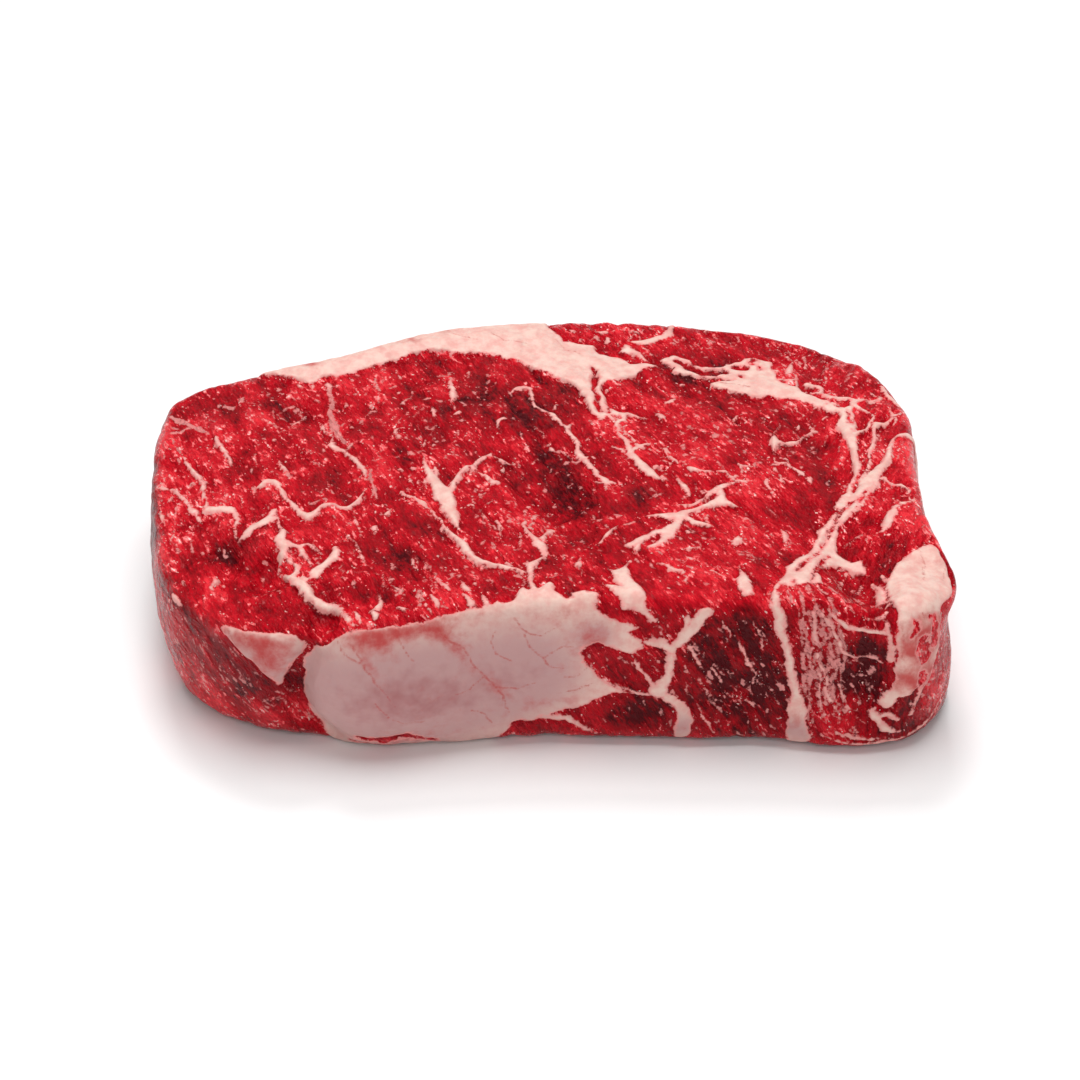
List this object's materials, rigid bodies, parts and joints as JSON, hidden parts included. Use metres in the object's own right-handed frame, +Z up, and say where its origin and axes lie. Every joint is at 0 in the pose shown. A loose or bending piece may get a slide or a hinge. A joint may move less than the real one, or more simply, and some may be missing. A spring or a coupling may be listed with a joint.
{
  "type": "raw beef steak",
  "caption": "Thick boneless raw rib steak with a fat band, seam fat and marbling, lying flat on one cut face.",
  "frame": {"origin": "middle of the bounding box's base, on the surface that the steak lies on", "axes": "+X along the steak's length to the end with the corner fat, +Y from its front side to the fat band at the back, +Z up out of the upper cut face"},
  "size_m": [0.1784, 0.1282, 0.0397],
  "materials": {
    "raw_beef": "wet satin, red lean meat with creamy white fat"
  },
  "bodies": {
    "root": {"steak": "raw_beef"}
  },
  "joints": []
}
